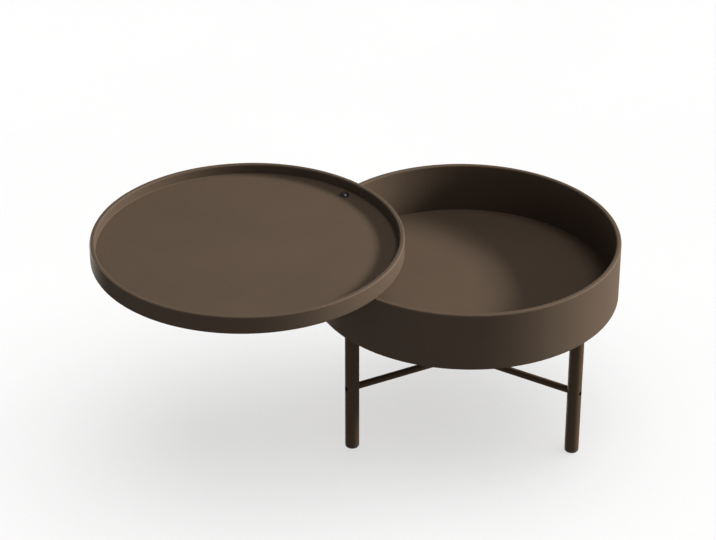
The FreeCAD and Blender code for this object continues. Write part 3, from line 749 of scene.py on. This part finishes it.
class AddPostPlug(bpy.types.Operator):
    """Add the plug that closes the hole under the pivot post"""

    bl_idname = "swivel_table.post_plug"
    bl_label = "Post plug"

    def execute(self, context):
        lip, under = radius_of("post_plug"), low("drum_floor")
        top, bottom = high("post_plug"), low("post_plug")
        stem_edge, seat_edge, face_edge = 0.6 * MM, 0.2 * MM, 0.9 * MM
        plug = turned("moulded_post_plug", [
            (0.0, top, 0.0), (PLUG_STEM, top, stem_edge), (PLUG_STEM, under, 0.0), (lip, under, seat_edge),
            (lip, bottom, face_edge), (0.0, bottom, 0.0)], "black_plastic", PIVOT)
        settle(plug, "base", "black_plastic", "post_plug")
        return {"FINISHED"}


class AddBearingBalls(bpy.types.Operator):
    """Add the balls of the thrust bearing"""

    bl_idname = "swivel_table.bearing_balls"
    bl_label = "Bearing balls"

    def execute(self, context):
        top, bottom = high("bearing_balls"), low("bearing_balls")
        radius = (top - bottom) / 2
        ball = built("Ball", bmesh.ops.create_icosphere, subdivisions=3, radius=radius)
        track = Arc(radius_of("bearing_balls") - radius, BALL_COUNT, 0.0, math.tau / BALL_COUNT)
        centre = PIVOT + up((bottom + top) / 2)
        balls = scattered("plated_bearing_balls", ball, "zinc_steel", centre, track, TO_TRAY)
        settle(balls, "bearing_cage", "zinc_steel", "bearing_balls")
        return {"FINISHED"}


class AddScrews(bpy.types.Operator):
    """Add the wood screws of the hub plate, the pivot post and the leg plates"""

    bl_idname = "swivel_table.screws"
    bl_label = "Screws"

    def execute(self, context):
        for name, node, body, way, centre, arc, ring in SCREW_GROUPS:
            face = high(node) if way == HEAD_UP else low(node)
            screw = wood_screw(high(node) - low(node), way)
            screws = scattered(name, screw, "zinc_steel", centre + up(face), arc, ring, HEAD_TURN)
            settle(screws, body, "zinc_steel", node)
        return {"FINISHED"}


class AddLegs(bpy.types.Operator):
    """Add the three leg tubes with their access holes"""

    bl_idname = "swivel_table.legs"
    bl_label = "Legs"

    def execute(self, context):
        top_edge, bottom_edge = 0.4 * MM, 0.5 * MM
        brace = up((low("brace_hub") + high("brace_hub")) / 2)
        for side, foot in FOOT.items():
            leg = "leg_" + side
            outer, bore, top, bottom = radius_of(leg), radius_of("leg_insert_" + side), high(leg), low(leg)
            tube = turned("coated_leg_" + side, [
                (bore, top, CUT_EDGE), (outer, top, top_edge), (outer, bottom, bottom_edge),
                (bore, bottom, CUT_EDGE)], "powder_coated_steel", foot, TUBE_STEPS)
            at, away = foot + brace, OUTWARDS[side]
            carve(tube, rod("Access", ACCESS_RADIUS, at + away * ACCESS_FROM, at + away * ACCESS_TO))
            settle(tube, "base", "powder_coated_steel", leg)
        return {"FINISHED"}


class AddFootGlides(bpy.types.Operator):
    """Add the moulded glides under the legs"""

    bl_idname = "swivel_table.foot_glides"
    bl_label = "Foot glides"

    def execute(self, context):
        sizes = context.scene.swivel_table_sizes
        stem_edge = 0.8 * MM
        for side, foot in FOOT.items():
            glide, leg = "foot_glide_" + side, "leg_" + side
            outer, top, shoulder = radius_of(leg), high(glide), low(leg)
            stem = radius_of("leg_insert_" + side) - FOOT_STEM_GAP
            moulded = turned("moulded_foot_" + side, [
                (0.0, top, 0.0), (stem, top, stem_edge), (stem, shoulder, 0.0), (outer, shoulder, CUT_EDGE),
                (outer, 0.0, sizes.foot_round), (0.0, 0.0, 0.0)], "black_plastic", foot, TUBE_STEPS)
            settle(moulded, "base", "black_plastic", glide)
        return {"FINISHED"}


class AddLegPlates(bpy.types.Operator):
    """Add the plates that hold the legs under the drum"""

    bl_idname = "swivel_table.leg_plates"
    bl_label = "Leg plates"

    def execute(self, context):
        face_edge, back = 0.7 * MM, low("drum_floor")
        for side, foot in FOOT.items():
            plate = "leg_plate_" + side
            wide, top, face = radius_of(plate), high(plate), low(plate)
            disc = turned("plated_leg_plate_" + side, [
                (0.0, top, 0.0), (PLATE_BOSS, top, CUT_EDGE), (PLATE_BOSS, back, 0.0),
                (wide, back, CUT_EDGE), (wide, face, face_edge), (0.0, face, 0.0)],
                "zinc_steel", foot, TUBE_STEPS)
            sink = turned("Sink", [
                (0.0, SINK_TO, 0.0), (SINK_NARROW, SINK_TO, 0.0), (SINK_NARROW, SINK_DEPTH, 0.0),
                (SINK_WIDE, SINK_RIM, 0.0), (SINK_WIDE, SINK_FROM, 0.0), (0.0, SINK_FROM, 0.0)],
                "zinc_steel", steps=SCREW_STEPS)
            ring = single(heading(DRUM_AXIS, foot))
            carve(disc, scattered("Sinks", sink, "zinc_steel", foot + up(face), LEG_SCREWS, ring))
            settle(disc, "base", "zinc_steel", plate)
        return {"FINISHED"}


class AddBraceHub(bpy.types.Operator):
    """Add the hub of the star brace, with a flat for each arm"""

    bl_idname = "swivel_table.brace_hub"
    bl_label = "Brace hub"

    def execute(self, context):
        top, bottom = high("brace_hub"), low("brace_hub")
        centre = DRUM_AXIS + up((top + bottom) / 2)
        hub = turned("coated_brace_hub", [
            (0.0, top, 0.0), (HUB_RADIUS, top, HUB_EDGE), (HUB_RADIUS, bottom, HUB_EDGE),
            (0.0, bottom, 0.0)], "powder_coated_steel", DRUM_AXIS, TUBE_STEPS)
        deep, wide = 10 * MM, 40 * MM
        flats = []
        for side, foot in FOOT.items():
            middle = centre + OUTWARDS[side] * (HUB_FLAT + deep / 2)
            flats.append(block("Flat", (deep, wide, wide), middle, heading(DRUM_AXIS, foot)))
        carve(hub, *flats)
        settle(hub, "base", "powder_coated_steel", "brace_hub")
        return {"FINISHED"}


class AddBraceArms(bpy.types.Operator):
    """Add the arms of the star brace, welded to its hub and saddled on the legs"""

    bl_idname = "swivel_table.brace_arms"
    bl_label = "Brace arms"

    def execute(self, context):
        top, bottom = high("brace_hub"), low("brace_hub")
        centre = DRUM_AXIS + up((top + bottom) / 2)
        end, past = LEG_REACH - ARM_SHORT, 50 * MM
        for side, foot in FOOT.items():
            arm = turned("coated_brace_arm_" + side, [
                (0.0, end, 0.0), (ARM_RADIUS, end, 0.0), (ARM_RADIUS, HUB_FLAT, ARM_WELD),
                (ARM_RADIUS + ARM_WELD, HUB_FLAT, 0.0), (0.0, HUB_FLAT, 0.0)], "powder_coated_steel")
            arm.data.transform(Matrix.Translation(centre) @ facing(OUTWARDS[side]))
            saddle = radius_of("leg_" + side) + SADDLE_GAP
            carve(arm, rod("Saddle", saddle, foot, foot + up(top + past), SADDLE_STEPS))
            settle(arm, "base", "powder_coated_steel", "brace_arm_" + side)
        return {"FINISHED"}


class FinishFrame(bpy.types.Operator):
    """Give the CAD nodes that no finished piece stands for the material of their slot"""

    bl_idname = "swivel_table.finish_frame"
    bl_label = "Finish of the CAD nodes"

    def execute(self, context):
        for part in frame["record"]["subparts"]:
            node = frame["nodes"][part["node"]]
            if not node.hide_render:
                node.material_slots[0].material = material_of(part["material_slot"])
        return {"FINISHED"}


# Lamps for the table: azimuth from the front and rise in degrees, distance, width, height, and power
# in watts.
# A wide soft box low on the right shapes the table and a panel overhead opens up its shadows.
# A strip behind it on the left, below the height of the rims, lights its outer walls only.
TABLE_LAMPS = {
    "key_light": (99.0, 23.5, 8.0, 3.6, 1.1, 1550.0),
    "top_light": (75.0, 68.0, 6.0, 2.5, 2.5, 165.0),
    "back_light": (212.0, -1.5, 6.0, 1.2, 0.3, 850.0),
}
LAMP_COLOUR = "#FFFAF4"

# The floor has a shadowless sun and a weak one that gives the table a faint soft shadow: the power of
# each and whether it casts shadows, and the azimuth, rise and distance of both.
FLOOR_SUNS = {"floor_light": (2.95, False), "shadow_light": (0.5, True)}
SUN_PLACE = (94.0, 78.0, 5.0)
SUN_ANGLE = math.radians(75)
LIT_POINT = up(0.4)
FLOOR_REACH = 40.0

# A pale wall stands all round at eye level, and the air above it is dimmer than the glow from below.
WALL_GLOW = 0.98
WALL_COLOUR = "#FFFDFC"
BELOW_GLOW = 0.4
BELOW_HEIGHTS = (-0.1, -0.05)
ABOVE_GLOW = 0.22
ABOVE_HEIGHTS = (0.1, 0.25)

# The photo's view: the lens in pixels of an image as wide as the photo, and the camera's azimuth, rise
# and distance.
IMAGE_WIDTH = 716
LENS_PIXELS = 2400
SENSOR_WIDTH = 36.0
CAMERA_PLACE = (-1.18, 30.25, 4.648)
CAMERA_TARGET = Vector((0.0007, 0.0, 0.3541))


def stand_off(obj, target, azimuth, rise, distance):
    """Stand an object off a target and point it there; azimuth, from the front, and rise are in degrees."""
    turn, tilt = math.radians(azimuth), math.radians(rise)
    back = Vector((math.sin(turn) * math.cos(tilt), -math.cos(turn) * math.cos(tilt), math.sin(tilt)))
    obj.location = target + back * distance
    obj.rotation_euler = back.to_track_quat("Z", "Y").to_euler()


def hang(light, lit, place):
    """Hang a light that falls on one group only, pointed at the table."""
    lamp = bpy.data.objects.new(light.name, light)
    bpy.context.scene.collection.objects.link(lamp)
    lamp.light_linking.receiver_collection = lit
    stand_off(lamp, LIT_POINT, *place)


class AddStage(bpy.types.Operator):
    """Add the studio floor, the lights and the camera"""

    bl_idname = "swivel_table.stage"
    bl_label = "Studio"

    def execute(self, context):
        scene = context.scene
        mesh = bpy.data.meshes.new("studio_floor")
        signs = ((-1, -1), (1, -1), (1, 1), (-1, 1))
        corners = [(FLOOR_REACH * x, FLOOR_REACH * y, 0.0) for x, y in signs]
        mesh.from_pydata(corners, [], [(0, 1, 2, 3)])
        mesh.materials.append(material_of("studio_floor"))
        floor = put("studio_floor", mesh)
        # The floor is lit apart from the table and throws no light back, so it stays pale under a dark
        # piece.
        floor.visible_diffuse = floor.visible_glossy = False
        floor_only = bpy.data.collections.new("floor_only")
        table_only = bpy.data.collections.new("table_only")
        for group, state in ((floor_only, "INCLUDE"), (table_only, "EXCLUDE")):
            group.objects.link(floor)
            group.collection_objects[0].light_linking.link_state = state

        for name, (azimuth, rise, distance, wide, tall, power) in TABLE_LAMPS.items():
            light = bpy.data.lights.new(name, "AREA")
            light.shape = "RECTANGLE"
            light.size, light.size_y, light.energy = wide, tall, power
            light.color = linear(LAMP_COLOUR)[:3]
            hang(light, table_only, (azimuth, rise, distance))
        for name, (power, shadow) in FLOOR_SUNS.items():
            light = bpy.data.lights.new(name, "SUN")
            light.angle, light.energy, light.use_shadow = SUN_ANGLE, power, shadow
            hang(light, floor_only, SUN_PLACE)

        world = bpy.data.worlds.new("studio_air")
        world.use_nodes = True
        tree = world.node_tree
        tree.nodes.clear()
        way = add_node(tree, "ShaderNodeTexCoord").outputs["Generated"]
        height = add_node(tree, "ShaderNodeSeparateXYZ", {0: way}).outputs["Z"]
        below = add_node(tree, "ShaderNodeMapRange", {
            "Value": height, "From Min": BELOW_HEIGHTS[0], "From Max": BELOW_HEIGHTS[1],
            "To Min": BELOW_GLOW, "To Max": WALL_GLOW}).outputs[0]
        above = add_node(tree, "ShaderNodeMapRange", {
            "Value": height, "From Min": ABOVE_HEIGHTS[0], "From Max": ABOVE_HEIGHTS[1],
            "To Min": WALL_GLOW, "To Max": ABOVE_GLOW}).outputs[0]
        glow = add_node(tree, "ShaderNodeMath", {0: below, 1: above}, operation="MINIMUM").outputs[0]
        air = add_node(tree, "ShaderNodeBackground", {"Color": linear(WALL_COLOUR), "Strength": glow})
        add_node(tree, "ShaderNodeOutputWorld", {"Surface": air.outputs[0]})
        scene.world = world
        scene.view_settings.view_transform = "Standard"

        lens = bpy.data.cameras.new("camera")
        lens.sensor_width = SENSOR_WIDTH
        lens.lens = LENS_PIXELS * SENSOR_WIDTH / IMAGE_WIDTH
        camera = bpy.data.objects.new("camera", lens)
        scene.collection.objects.link(camera)
        stand_off(camera, CAMERA_TARGET, *CAMERA_PLACE)
        scene.camera = camera
        return {"FINISHED"}


STEPS = (
    AddTrayRim, AddTrayPads, AddDrumWall, AddPivotCap, AddPivotPost, AddPostPlug, AddBearingBalls,
    AddScrews, AddLegs, AddFootGlides, AddLegPlates, AddBraceHub, AddBraceArms, FinishFrame, AddStage)


class TablePanel(bpy.types.Panel):
    """Sidebar panel with the table's sizes, colours and pieces"""

    bl_idname = "VIEW3D_PT_swivel_table"
    bl_label = "Swivel coffee table"
    bl_space_type = "VIEW_3D"
    bl_region_type = "UI"
    bl_category = "Swivel table"

    def draw(self, context):
        for group in (context.scene.swivel_table_sizes, context.scene.swivel_table_colours):
            for key in group.__annotations__:
                self.layout.prop(group, key)
        for step in STEPS:
            self.layout.operator(step.bl_idname)


CLASSES = (TableSizes, TableColours, *STEPS, TablePanel)


def register():
    for cls in CLASSES:
        bpy.utils.register_class(cls)
    bpy.types.Scene.swivel_table_sizes = bpy.props.PointerProperty(type=TableSizes)
    bpy.types.Scene.swivel_table_colours = bpy.props.PointerProperty(type=TableColours)


def unregister():
    del bpy.types.Scene.swivel_table_colours
    del bpy.types.Scene.swivel_table_sizes
    for cls in reversed(CLASSES):
        bpy.utils.unregister_class(cls)


def main():
    register()
    for step in STEPS:
        getattr(bpy.ops.swivel_table, step.bl_idname.split(".")[1])()


if __name__ == "__main__":
    main()
